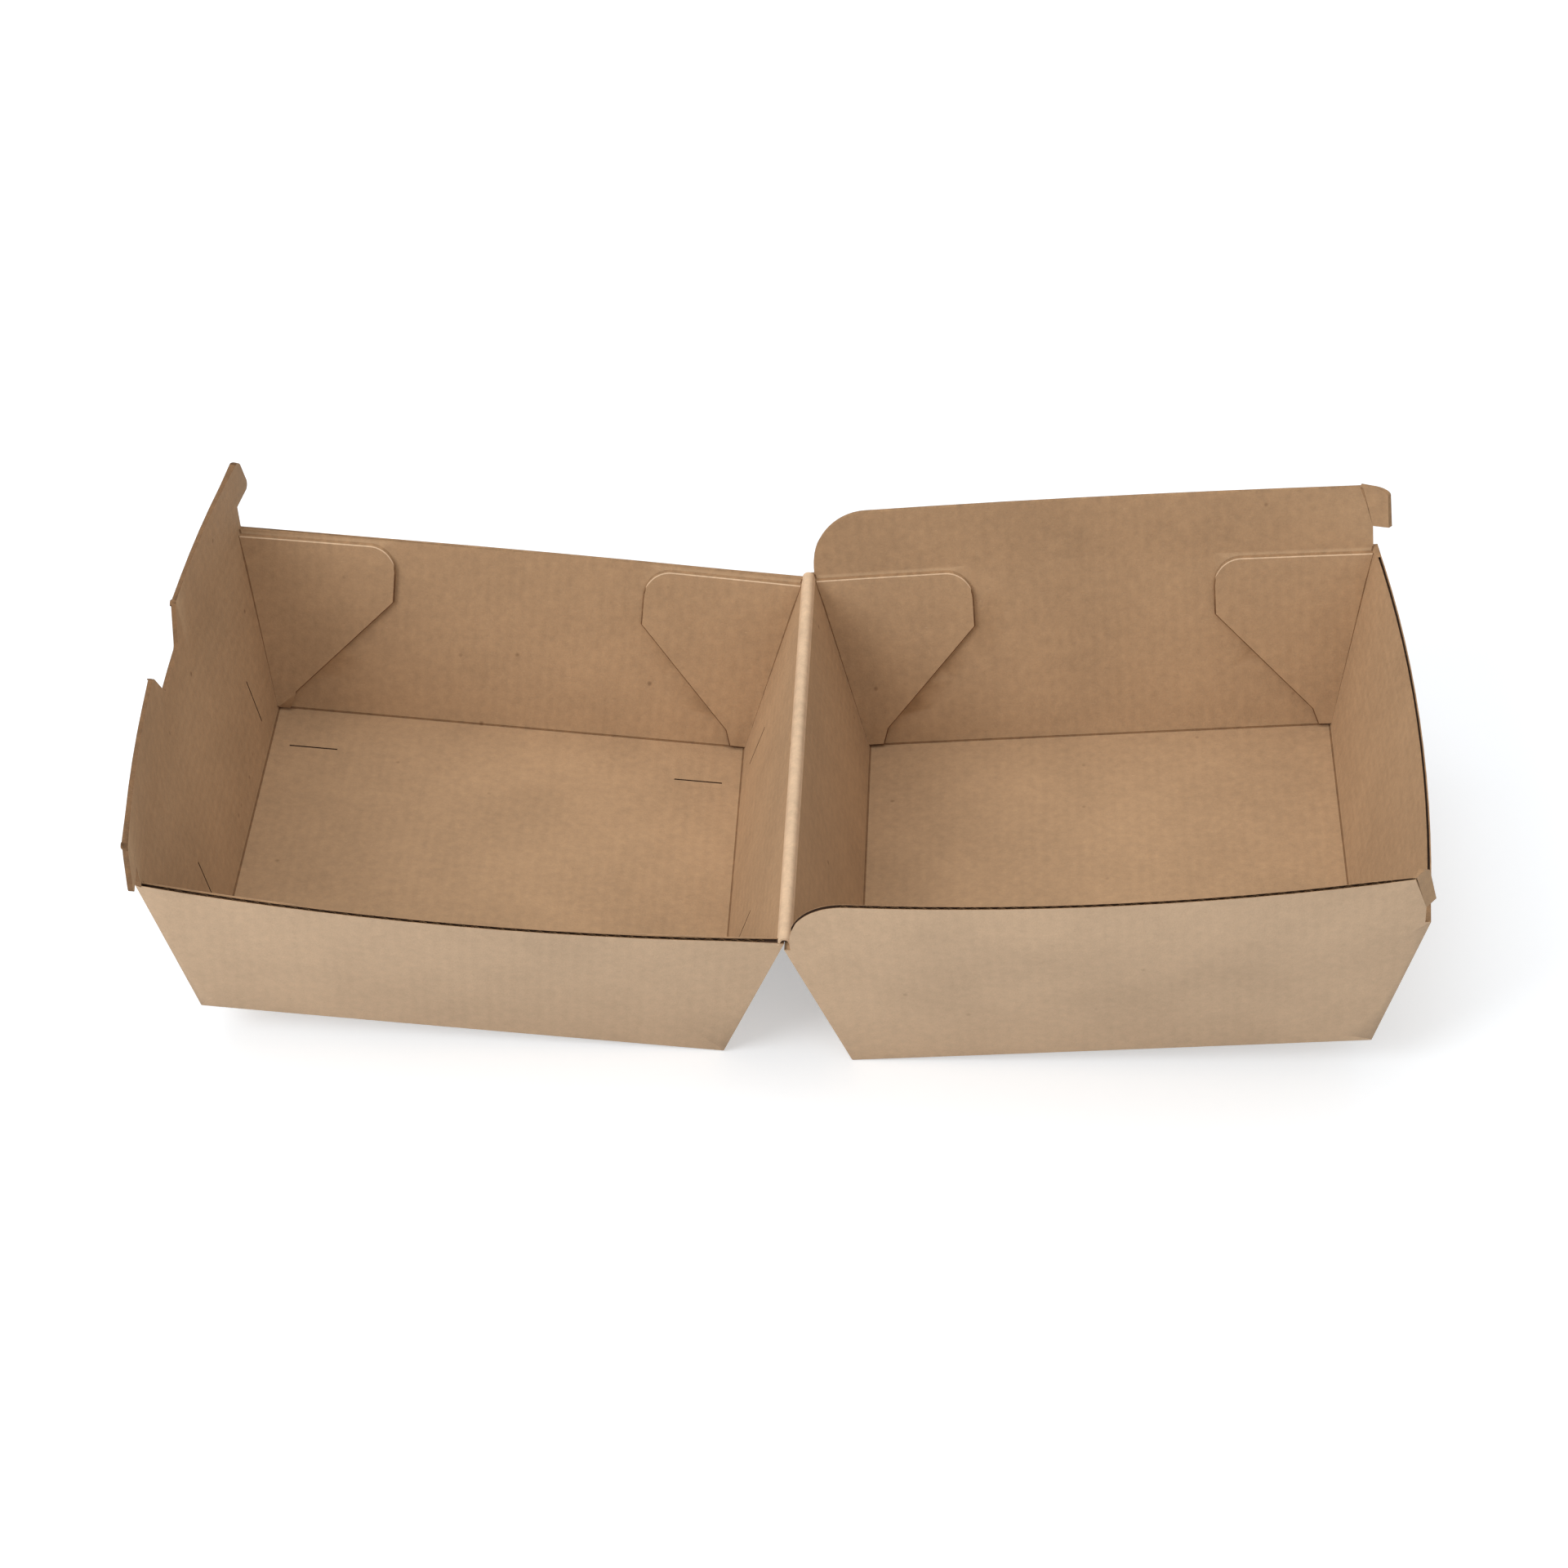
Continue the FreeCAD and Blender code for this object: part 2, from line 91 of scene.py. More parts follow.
hinge = frame["joints"][0]
crease = Vector(hinge["pos_m"])
tilt = math.radians(-hinge["range_deg"][0] / 2)
turn_base = Matrix.Translation(crease) @ Matrix.Rotation(-tilt, 4, "Y")
turn_lid = Matrix.Translation(crease) @ Matrix.Rotation(tilt, 4, "Y") @ Matrix.Diagonal((-1, 1, 1, 1))
TRAYS = {"base": turn_base, "lid": turn_lid}


def own_centre(face, tray):
    """The middle of a face in the axes of its tray."""
    return TRAYS[tray].inverted() @ face.calc_center_median()


def own_normal(face, tray):
    return (TRAYS[tray].to_3x3().inverted() @ face.normal).normalized()


print("crease at", in_mm(crease, 2), "mm, tilt", round(math.degrees(tilt), 2))

# %% [markdown]
# ## Camera
# A product picture is taken from a distance with a long lens, so that upright edges stay
# nearly parallel. The position was found from the fold lines of the box: about 0.8 m
# away, 38 degrees above the ground and a little to the right of the crease. The picture
# is square, and the lens is given for a sensor 36 mm wide.

# %% Camera
CAMERA_FROM_CREASE = Vector((27.2, -611.5, 474.5)) * MM
PITCH, YAW, ROLL = 0.902, 0.049, -0.009
LENS = 86.36
SENSOR = 36.0

camera_data = bpy.data.cameras.new("camera")
camera_data.lens = LENS
camera_data.sensor_width = SENSOR
camera = bpy.data.objects.new("camera", camera_data)
bpy.context.scene.collection.objects.link(camera)
camera.matrix_world = (
    Matrix.Translation(crease + CAMERA_FROM_CREASE)
    @ Matrix.Rotation(YAW, 4, "Z")
    @ Matrix.Rotation(PITCH, 4, "X")
    @ Matrix.Rotation(ROLL, 4, "Z")
)
bpy.context.scene.camera = camera
print("camera at", in_mm(camera.location), "mm")

# %% [markdown]
# ## Helpers for node materials
# A node material is easier to read when each node is one line: its kind, its settings
# and what goes into its sockets. These helpers do only that. A value is either a plain
# number, or the output of another node, and then a link is made.

# %% Node helpers
def feed(tree, socket, value):
    if isinstance(value, bpy.types.NodeSocket):
        tree.links.new(value, socket)
    else:
        socket.default_value = value


def put(tree, kind, inputs=None, **settings):
    """Add a node, set it up and feed its inputs; returns its first output."""
    node = tree.nodes.new("ShaderNode" + kind)
    for name, value in settings.items():
        setattr(node, name, value)
    for name, value in (inputs or {}).items():
        feed(tree, node.inputs[name], value)
    return next(output for output in node.outputs if output.enabled)


def math_of(tree, operation, *values):
    return put(tree, "Math", dict(enumerate(values)), operation=operation)


def spread(tree, value, low, high, to_low=0.0, to_high=1.0):
    """Stretch a part of a value's range, and hold it at the ends."""
    sockets = {"Value": value, "From Min": low, "From Max": high, "To Min": to_low, "To Max": to_high}
    return put(tree, "MapRange", sockets)


def noise(tree, where, scale, detail=2.0, roughness=0.5):
    sockets = {"Vector": where, "Scale": scale, "Detail": detail, "Roughness": roughness}
    return put(tree, "TexNoise", sockets)


def tinted(tree, factor, colour, tint, blend="MIX"):
    """Lay a tint over a colour. The Mix node has sockets of one name, so identifiers tell them apart."""
    node = tree.nodes.new("ShaderNodeMix")
    node.data_type = "RGBA"
    node.blend_type = blend
    sockets = {socket.identifier: socket for socket in node.inputs}
    for name, value in (("Factor_Float", factor), ("A_Color", colour), ("B_Color", tint)):
        feed(tree, sockets[name], value)
    return next(output for output in node.outputs if output.identifier == "Result_Color")


def paint(red, green, blue):
    """A colour as a painter reads it from a screen, 0 to 255, turned into light."""
    def light(level):
        level /= 255
        return level / 12.92 if level <= 0.04045 else ((level + 0.055) / 1.055) ** 2.4

    return (light(red), light(green), light(blue), 1.0)


print("a mid kraft as light", [round(x, 3) for x in paint(176, 142, 108)])

# %% [markdown]
# ## Kraft paper
# Kraft liner is never one colour. It has soft clouds a finger wide, a mottled grain of
# a millimetre or two, fine grit, short fibres that lie mostly one way, and now and then a
# dark fleck. The flutes under it press through as very faint bands. Image textures could
# show this, but noise fields keep their detail at any distance, and need no file. A noise
# of scale 45 has clouds about a forty-fifth of a metre wide.
#
# Fibres and flutes follow the sheet, also up the walls, so they use a UV map laid out in
# metres: U runs across the flutes and V along them. The rest uses object coordinates,
# which carry on round the folds. The whole effect is one group, because every paper
# surface on the box uses it with its own values.

# %% Sockets of the paper grain
KRAFT = paint(176, 142, 108)
GRAIN_AMOUNTS = {"Cloud": 0.07, "Mottle": 0.12, "Fibre": 0.25, "Fleck": 0.7, "Bands": 0.02}
GRAIN_RESULTS = {"Colour": "Color", "Roughness": "Float", "Height": "Float"}


def group_socket(tree, name, kind, value=None, in_out="INPUT"):
    socket = tree.interface.new_socket(name=name, in_out=in_out, socket_type="NodeSocket" + kind)
    if value is not None:
        socket.default_value = value


grain = bpy.data.node_groups.new("paper_grain", "ShaderNodeTree")
group_socket(grain, "Paper", "Color", KRAFT)
for name, amount in GRAIN_AMOUNTS.items():
    group_socket(grain, name, "Float", amount)
for name, kind in GRAIN_RESULTS.items():
    group_socket(grain, name, kind, in_out="OUTPUT")
print("grain takes", [item.name for item in grain.interface.items_tree if item.in_out == "INPUT"])

# %% Paper grain group
FLUTE_PITCH = 2.5 * MM
CLOUD_SCALE = 45
MOTTLE_SCALE = 520
GRIT_SCALE = 2600
FLECK_SCALE = 240
FIBRE_SCALE = (900, 4200, 1)
GRIT_SHADE = 0.04
FLECK_CELLS = 0.955
FLECK_RADIUS = 0.16
FLECK_CORE = 0.05
DARK_FIBRE = paint(92, 62, 38)
PALE_FIBRE = paint(226, 200, 166)
DARK_STRANDS = 0.62, 0.78
PALE_STRANDS = 0.38, 0.24
SMOOTHEST, ROUGHEST = 0.78, 0.92
MOTTLE_RELIEF, GRIT_RELIEF, BAND_RELIEF, FIBRE_RELIEF = 0.35, 0.2, 0.25, 0.4


def even(tree, field, low=0.3, high=0.7):
    """A noise field gathers near its middle, so that part is spread from -1 to 1."""
    return spread(tree, field, low, high, -1.0, 1.0)


def flecks(tree, place):
    """Round dark specks in a few of the cells of a Voronoi field."""
    cells = tree.nodes.new("ShaderNodeTexVoronoi")
    cells.inputs["Scale"].default_value = FLECK_SCALE
    tree.links.new(place, cells.inputs["Vector"])
    chosen = put(tree, "SeparateColor", {"Color": cells.outputs["Color"]})
    rare = math_of(tree, "GREATER_THAN", chosen, FLECK_CELLS)
    near = spread(tree, cells.outputs["Distance"], FLECK_RADIUS, FLECK_CORE)
    return math_of(tree, "MULTIPLY", rare, near)


def fill_grain(tree):
    given = tree.nodes.new("NodeGroupInput").outputs
    result = tree.nodes.new("NodeGroupOutput").inputs
    place = tree.nodes.new("ShaderNodeTexCoord").outputs["Object"]
    sheet = put(tree, "UVMap", uv_map="sheet")

    cloud = even(tree, noise(tree, place, CLOUD_SCALE, 3))
    mottle = even(tree, noise(tree, place, MOTTLE_SCALE, 4, 0.65))
    grit = even(tree, noise(tree, place, GRIT_SCALE, 2, 0.6), 0.25, 0.75)
    fibre = noise(tree, put(tree, "Mapping", {"Vector": sheet, "Scale": FIBRE_SCALE}), 1.0, 3, 0.6)
    across = put(tree, "SeparateXYZ", {"Vector": sheet})
    band = math_of(tree, "SINE", math_of(tree, "MULTIPLY", across, math.tau / FLUTE_PITCH))

    level = 1.0
    for field, amount in (
        (cloud, given["Cloud"]),
        (mottle, given["Mottle"]),
        (grit, GRIT_SHADE),
        (band, given["Bands"]),
    ):
        level = math_of(tree, "MULTIPLY_ADD", field, amount, level)
    shade = put(tree, "CombineColor", {"Red": level, "Green": level, "Blue": level})
    colour = tinted(tree, 1.0, given["Paper"], shade, "MULTIPLY")
    for share, amount, tint in (
        (spread(tree, fibre, *DARK_STRANDS), given["Fibre"], DARK_FIBRE),
        (spread(tree, fibre, *PALE_STRANDS), given["Fibre"], PALE_FIBRE),
        (flecks(tree, place), given["Fleck"], DARK_FIBRE),
    ):
        colour = tinted(tree, math_of(tree, "MULTIPLY", share, amount), colour, tint)
    tree.links.new(colour, result["Colour"])
    tree.links.new(spread(tree, mottle, -1.0, 1.0, SMOOTHEST, ROUGHEST), result["Roughness"])

    height = 0.0
    for field, relief in (
        (mottle, MOTTLE_RELIEF),
        (grit, GRIT_RELIEF),
        (band, BAND_RELIEF),
        (fibre, FIBRE_RELIEF),
    ):
        height = math_of(tree, "MULTIPLY_ADD", field, relief, height)
    tree.links.new(height, result["Height"])


fill_grain(grain)
print("paper grain has", len(grain.nodes), "nodes")

# %% [markdown]
# ## The papers of the box
# The outside liner is a little paler than the inside one. A fold crushes the board: on
# the inside it leaves a bruised line, also painted darker as the shade in the fold, and the
# same paper draws a painted shadow along a flap's slanting edges. Over the top of the
# crease the fibres are stretched and pale, and the round is also painted lighter as a
# highlight; along the top of a glue flap the pale line is a painted highlight. A cut edge
# shows two thin liners, and the hollows of the flutes between them are painted dark as
# shade. Each of these is a material of its own around the same group. The numbers name the
# places of the papers in a board's list of materials.

# %% Materials
BUMP_DEPTH = 0.1 * MM


def paper(name, colour, relief, **amounts):
    material = bpy.data.materials.new(name)
    material.use_nodes = True
    tree = material.node_tree
    shader = tree.nodes["Principled BSDF"]
    shader.inputs["Specular IOR Level"].default_value = 0.35
    sheet = tree.nodes.new("ShaderNodeGroup")
    sheet.node_tree = grain
    sheet.inputs["Paper"].default_value = colour
    for socket, value in amounts.items():
        sheet.inputs[socket].default_value = value
    tree.links.new(sheet.outputs["Colour"], shader.inputs["Base Color"])
    tree.links.new(sheet.outputs["Roughness"], shader.inputs["Roughness"])
    relief_sockets = {"Height": sheet.outputs["Height"], "Strength": relief, "Distance": BUMP_DEPTH}
    tree.links.new(put(tree, "Bump", relief_sockets), shader.inputs["Normal"])
    return material


INNER, OUTER, CUT, BRUISE_AND_SHADE, HOLLOW_SHADE, STRETCH_AND_HIGHLIGHT = range(6)
papers = [
    paper("inner_liner", paint(179, 146, 112), 0.5, Mottle=0.09, Bands=0.012, Fleck=0.5),
    paper("outer_liner", paint(200, 170, 139), 0.4, Mottle=0.06, Bands=0.01, Fleck=0.2),
    paper("cut_liner", paint(160, 126, 92), 0.8, Mottle=0.2),
    # Bruised fold paper, also painted darker as shade in folds and under flaps' edges.
    paper("bruised_fold_and_shade", paint(128, 96, 66), 0.8, Mottle=0.2),
    # Painted shade for the hollows between flutes, the slits and the crest's core.
    paper("flute_hollow_shade", paint(60, 38, 22), 0.8, Mottle=0.2),
    # Stretched fold paper, also painted lighter as a highlight on the crest and flap tops.
    paper("stretched_fold_and_highlight", paint(218, 187, 154), 0.6, Mottle=0.1),
]
print("materials", [material.name for material in papers])

# %% [markdown]
# ## From solid to folded board
# The frame's mesh is loose triangles. A copy is welded, and then every triangle is asked
# what it is: paper inside, paper outside, or a cut through the board. Level faces above
# the floor are always cuts, because every wall leans, and at the floor the upright ones
# are. Elsewhere a ray is sent inward: a liner has the board's other liner close behind
# it, one or two boards deep and parallel, and a cut edge has none. At the corners the
# board is thicker than that, so the outsides of the walls are also known by where they
# lie and which way they face. Then the triangles that lie flat together become whole
# faces, which bevels and extrusions need.

# %% Tell liners from cuts
TWO_BOARDS = 2.75 * MM
SKIN = 0.01 * MM
NEAR_CORNER = 0.8
PARALLEL = math.cos(math.radians(14))
FOLD_ZONE = 0.5 * MM
# Parts of a face's normal, along Z or toward a side. The whole normal has length 1.
LEVEL = 0.9
UPRIGHT = 0.02
LEANING = (-0.5, -0.1)
FACING = 0.6


def backed(face, tree):
    """Whether some spot of a triangle has the other liner parallel behind it."""
    corners = [vert.co for vert in face.verts]
    centre = face.calc_center_median()
    for spot in [centre] + [centre.lerp(corner, NEAR_CORNER) for corner in corners]:
        place, normal, _, depth = tree.ray_cast(spot - face.normal * SKIN, -face.normal)
        if place and BOARD / 2 < depth < TWO_BOARDS and normal.dot(face.normal) < -PARALLEL:
            return True
    return False


def outside_of_wall(own, normal):
    """Whether a face is the outside of a leaning wall, also where a corner is thick."""
    leans = own.z < -MM and LEANING[0] < normal.z < LEANING[1]
    beside_floor = abs(own.y) > FLOOR_DEPTH / 2 - 2 * MM
    over_floor = HINGE_SPREAD + 3 * MM < own.x < HINGE_SPREAD + FLOOR_LENGTH - MM
    at_side = abs(normal.y) > FACING and beside_floor
    at_end = abs(normal.x) > FACING and not over_floor
    return leans and (at_side or at_end)


def kind_of(face, tray, tree):
    """Inner liner, outer liner or cut edge."""
    own = own_centre(face, tray)
    normal = own_normal(face, tray)
    if own.z < -HEIGHT + FOLD_ZONE:
        is_cut = abs(normal.z) < UPRIGHT
    else:
        is_cut = abs(normal.z) > LEVEL or not (outside_of_wall(own, normal) or backed(face, tree))
    if is_cut:
        return CUT
    return INNER if normal.z > 0 else OUTER


def count_kinds(bm):
    return [sum(face.material_index == kind for face in bm.faces) for kind in range(len(papers))]


print("a liner lies up to", in_mm([TWO_BOARDS], 2), "mm behind the other")

# %% Weld a copy of each tray
WELD = 0.002 * MM
FLAT = math.radians(0.08)


def welded(tray):
    bm = bmesh.new()
    bm.from_mesh(frame["nodes"][f"{tray}_tray"].data)
    bmesh.ops.remove_doubles(bm, verts=bm.verts, dist=WELD)
    tree = BVHTree.FromBMesh(bm)
    kinds = [kind_of(face, tray, tree) for face in bm.faces]
    for face, kind in zip(bm.faces, kinds):
        face.material_index = kind
    bmesh.ops.dissolve_limit(
        bm, angle_limit=FLAT, verts=bm.verts, edges=bm.edges, delimit={"MATERIAL"}
    )
    return bm


boards = {tray: welded(tray) for tray in TRAYS}
for tray, bm in boards.items():
    print(tray, "faces by kind", count_kinds(bm), "open edges", sum(e.is_boundary for e in bm.edges))

# %% [markdown]
# ## Hooks
# The solid hooks are short, because a stiff hook must clear the lid's ears as they swing
# past it. Card gives way there, so the real hooks reach further. Each one is drawn out
# along its own plane: the front hook is bent in by 50 degrees, the back one by 18.

# %% Draw the hooks out
WING_END = HINGE_SPREAD + FLOOR_LENGTH + END_SPREAD + BOARD
HOOK_FOOT = 4.0 * MM
HOOK_START = 0.15 * MM
HOOK_DRAW = {FRONT: 1.9, BACK: 2.3}
HOOK_BEND = {FRONT: math.radians(50), BACK: math.radians(18)}


def draw_hooks(bm):
    """Move what lies beyond the wing's end further out by a factor; returns how many."""
    count = 0
    for vert in bm.verts:
        own = TRAYS["base"].inverted() @ vert.co
        beyond = own.x - WING_END
        if own.z < HOOK_FOOT or beyond < HOOK_START:
            continue
        side = BACK if own.y > 0 else FRONT
        bend = HOOK_BEND[side]
        step = beyond / math.cos(bend) * (HOOK_DRAW[side] - 1)
        own += Vector((math.cos(bend), -side * math.sin(bend), 0)) * step
        vert.co = TRAYS["base"] @ own
        count += 1
    return count


print("hook vertices drawn out", draw_hooks(boards["base"]))

# %% [markdown]
# ## Folds
# On the inside of a fold the two faces meet in a crushed line. It is a narrow bevel on
# each hollow edge between two stretches of inner liner, and it takes the bruised paper,
# which is also painted darker as the shade in the fold.

# %% Round the folds
SHARP = math.radians(14)
INNER_CRUSH = 0.3 * MM


def folds(bm):
    found = []
    for edge in bm.edges:
        if len(edge.link_faces) != 2 or any(face.material_index != INNER for face in edge.link_faces):
            continue
        if edge.calc_face_angle() > SHARP and not edge.is_convex:
            found.append(edge)
    return found


def soften(bm, edges, width, segments, material):
    bmesh.ops.bevel(
        bm, geom=edges, offset=width, offset_type="OFFSET", segments=segments, profile=0.5,
        affect="EDGES", material=material, clamp_overlap=False,
    )


for tray, bm in boards.items():
    inside = folds(bm)
    print(tray, "inner folds", len(inside))
    # The bevel is painted darker as the shade in the fold, over the crushed line.
    soften(bm, inside, INNER_CRUSH, 2, BRUISE_AND_SHADE)
    print(tray, "faces by kind", count_kinds(bm))

# %% [markdown]
# ## Runs of cut faces
# The cut faces hang together in runs, and the area of a run tells what it is. The rim of
# a tray is one long run. The edge of a glue flap is a middling one. A vent slit is a
# small run, and the smallest are crumbs at the outer corners.

# %% Find the runs of cuts
RIM_AREA = 300 * MM * MM
KNIFE_AREA = 40 * MM * MM
CRUMB_AREA = 10 * MM * MM


def runs_of_cuts(bm):
    """Connected runs of cut faces, each with its area. A run grows while it is walked."""
    left = {face for face in bm.faces if face.material_index == CUT}
    runs = []
    for first in bm.faces:
        if first not in left:
            continue
        left.remove(first)
        run = [first]
        for face in run:
            for edge in face.edges:
                for other in edge.link_faces:
                    if other in left:
                        left.remove(other)
                        run.append(other)
        runs.append((run, sum(face.calc_area() for face in run)))
    return runs


for tray, bm in boards.items():
    areas = sorted(round(area / MM / MM) for _, area in runs_of_cuts(bm))
    print(tray, "cut runs", len(areas), "areas", areas)

# %% [markdown]
# ## Outlines of the glue flaps
# The glue flaps lie pressed on their walls, and their cut edge is too thin to show its
# flutes. A narrow bevel draws their outline: a painted highlight along the level top, where
# the light falls on it, and a painted shadow along the slanting edges, where the flap's
# edge shades the wall. Before that, the base's end rim is cut across near both corners,
# because its open edge will stop there in the next step.

# %% Outline the flaps
CORNER = 58.0 * MM
END_ZONE = 3 * MM
LEVEL_TOP = 0.5
TOP_OUTLINE = 0.18 * MM
SLANT_OUTLINE = 0.28 * MM


def at_end_wall(own):
    return own.x > WING_END - END_ZONE and own.z < MM


def split_at_corners(bm, tray):
    for side in (FRONT, BACK):
        rim = []
        for face in bm.faces:
            if face.material_index == CUT and at_end_wall(own_centre(face, tray)):
                rim += [face, *face.edges, *face.verts]
        spot = crease + Vector((0, side * CORNER, 0))
        bmesh.ops.bisect_plane(bm, geom=list(dict.fromkeys(rim)), plane_co=spot, plane_no=(0, 1, 0))


def flap_outline(faces, tray, top):
    """The convex edges between a flap's cut and its inner liner, either level or slanting."""
    outline = []
    for face in faces:
        if not face.is_valid or (own_normal(face, tray).z > LEVEL_TOP) != top:
            continue
        for edge in face.edges:
            beside = {other.material_index for other in edge.link_faces}
            if edge.is_convex and beside == {CUT, INNER}:
                outline.append(edge)
    return list(dict.fromkeys(outline))


split_at_corners(boards["base"], "base")
for tray, bm in boards.items():
    flap_cuts = [face for run, area in runs_of_cuts(bm) for face in run if KNIFE_AREA < area < RIM_AREA]
    # The level tops take a painted highlight, the slanting edges a painted shadow.
    for top, width, material in ((True, TOP_OUTLINE, STRETCH_AND_HIGHLIGHT), (False, SLANT_OUTLINE, BRUISE_AND_SHADE)):
        outline = flap_outline(flap_cuts, tray, top)
        print(tray, "flap outline edges", len(outline), "top" if top else "slanting")
        soften(bm, outline, width, 1, material)

# %% [markdown]
# ## Cut edges
# A knife leaves two liners with the fluted paper between them, and it crushes the board a
# little, so that a rim is thinner than the wall below it. The rim of each tray is
# extruded twice: once straight across the board, which leaves a lip as thin as a liner on
# each side, and once down into the board, which makes a channel painted dark as the shade
# between the flutes. Every vertex keeps the way across and the way down in two layers, and
# an extruded copy inherits them. The tops of the crease walls, the ends of the wings, the
# back rims and the lid's lip are pressed shut, and the lip is painted dark. The vent slits
# are only knife lines, painted dark as the shade inside them, and the crumbs belong to the
# outer liner.

# %% The ways across and down
CRUSH = 0.35 * MM
CREASE_ZONE = 2 * MM


def mark_ways(bm, faces):
    """Give each vertex of a run the way across the board and the way down into it.

    The vertices on the outer liner are pressed in, except at the crease.
    """
    layers = bm.verts.layers.float_vector
    across, down = layers.new("across"), layers.new("down")
    bm.normal_update()
    for vert in {vert for face in faces for vert in face.verts}:
        liner = Vector()
        cut = Vector()
        for face in vert.link_faces:
            if face.material_index == CUT:
                cut += face.normal
            elif face.material_index in (INNER, OUTER):
                liner += face.normal
        liner.normalize()
        level = liner - liner.project(cut) if cut.length else liner
        vert[across] = -level
        vert[down] = -(cut - cut.project(liner) if liner.length else cut).normalized()
        on_outside = any(face.material_index == OUTER for face in vert.link_faces)
        if on_outside and abs((vert.co - crease).x) > CREASE_ZONE:
            vert.co -= level * CRUSH
    return across, down


print("a rim is crushed from", BOARD / MM, "to", round((BOARD - CRUSH) / MM, 2), "mm")

# %% Channel along the rims
LINER = 0.12 * MM
END_LINER = 0.26 * MM
CHANNEL_DEPTH = 0.6 * MM
CHANNEL_NARROWS = 0.05 * MM
BACK_RIM = 52.0 * MM
LIP_START = 0.5 * MM


def on_lip(own, tray):
    return tray == "lid" and own.z > LIP_START


def stays_closed(own, tray):
    at_crease_or_back = own.x < CREASE_ZONE or own.y > BACK_RIM
    wing_end_or_corner = own.x > WING_END - END_ZONE and (own.z > MM or own.y < -CORNER)
    return at_crease_or_back or on_lip(own, tray) or (tray == "base" and wing_end_or_corner)


def push(bm, faces, ways, steps, side_material):
    """Extrude a run of faces and move the copy by a step along each of its ways."""
    extruded = bmesh.ops.extrude_face_region(bm, geom=faces)["geom"]
    bmesh.ops.delete(bm, geom=faces, context="FACES")
    moved = [item for item in extruded if isinstance(item, bmesh.types.BMFace)]
    verts = [item for item in extruded if isinstance(item, bmesh.types.BMVert)]
    for face in {face for vert in verts for face in vert.link_faces} - set(moved):
        face.material_index = side_material
    for vert in verts:
        for way, step in zip(ways, steps):
            vert.co += vert[way] * step
    return moved


def open_rim(bm, tray, rim):
    """Crush a rim, and make a channel along the stretches that stay open."""
    ways = mark_ways(bm, rim)
    own = {face: own_centre(face, tray) for face in rim}
    for face in rim:
        if on_lip(own[face], tray):
            # The lid's lip is painted dark, in the paper of the bruised folds.
            face.material_index = BRUISE_AND_SHADE
    stretches = [face for face in rim if not stays_closed(own[face], tray)]
    ends = [face for face in stretches if at_end_wall(own[face])]
    sides = [face for face in stretches if not at_end_wall(own[face])]
    for faces, liner in ((ends, END_LINER), (sides, LINER)):
        if faces:
            lips = push(bm, faces, ways, (liner, 0), CUT)
            # The channel's sides and floor are painted dark as the shade between the flutes.
            for face in push(bm, lips, ways, (CHANNEL_NARROWS, CHANNEL_DEPTH), HOLLOW_SHADE):
                face.material_index = HOLLOW_SHADE


for tray, bm in boards.items():
    cuts = runs_of_cuts(bm)
    for run, area in cuts:
        if area < KNIFE_AREA:
            for face in run:
                # Slits are painted dark as the shade inside them; crumbs take the outer liner.
                face.material_index = HOLLOW_SHADE if area > CRUMB_AREA else OUTER
    open_rim(bm, tray, [face for run, area in cuts for face in run if area > RIM_AREA])
    print(tray, "faces by kind", count_kinds(bm))

# %% [markdown]
# ## Lay the sheet out
# Every face gets UV coordinates in metres, as if the sheet were flat again: U across the
# flutes, V along them. On the floor and the side walls U is the way along the tray. On an
# end wall the flutes lie level, so U is the way up the wall. The finished mesh is shaded
# smooth, but for folds sharper than an angle, and its normals follow the larger faces.

# %% UV map in metres
FLOOR_LIKE = 0.7


def lay_out(bm, tray):
    layer = bm.loops.layers.uv.new("sheet")
    back = TRAYS[tray].inverted()
    for face in bm.faces:
        normal = own_normal(face, tray)
        for loop in face.loops:
            own = back @ loop.vert.co
            if abs(normal.z) > FLOOR_LIKE:
                loop[layer].uv = (own.x, own.y)
            elif abs(normal.x) > abs(normal.y):
                loop[layer].uv = (own.z, own.y)
            else:
                loop[layer].uv = (own.x, own.z)


def object_of(bm, name, materials, sharp_angle=None):
    """Turn a bmesh into an object at the origin, smooth up to an angle in degrees."""
    mesh = bpy.data.meshes.new(name)
    bm.to_mesh(mesh)
    bm.free()
    for material in materials:
        mesh.materials.append(material)
    if sharp_angle is not None:
        mesh.shade_smooth()
        mesh.set_sharp_from_angle(angle=math.radians(sharp_angle))
    piece = bpy.data.objects.new(name, mesh)
    bpy.context.scene.collection.objects.link(piece)
    return piece


for tray, bm in boards.items():
    lay_out(bm, tray)
    piece = object_of(bm, f"{tray}_board", papers, 28)
    weighted = piece.modifiers.new("weighted", "WEIGHTED_NORMAL")
    weighted.keep_sharp = True
    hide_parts(f"{tray}_tray")
    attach(piece, tray)
    print(piece.name, len(piece.data.polygons), "faces")

# %% [markdown]
# ## Fluting
# The flutes run up the front and back walls, so along those rims the fluted paper shows as
# a wave between the liners. It is a ribbon that follows the bulging rim a little below its
# top. Along the end walls the flutes lie level and no wave shows. A bulging rim is an arc
# through its two ends, as high at its middle as the wall's bow.

# %% Where the rims run
WING_BEND = 1.3 * MM
WING_RADIUS = 12.0 * MM
RIM_MIDDLE = 0.42 * MM

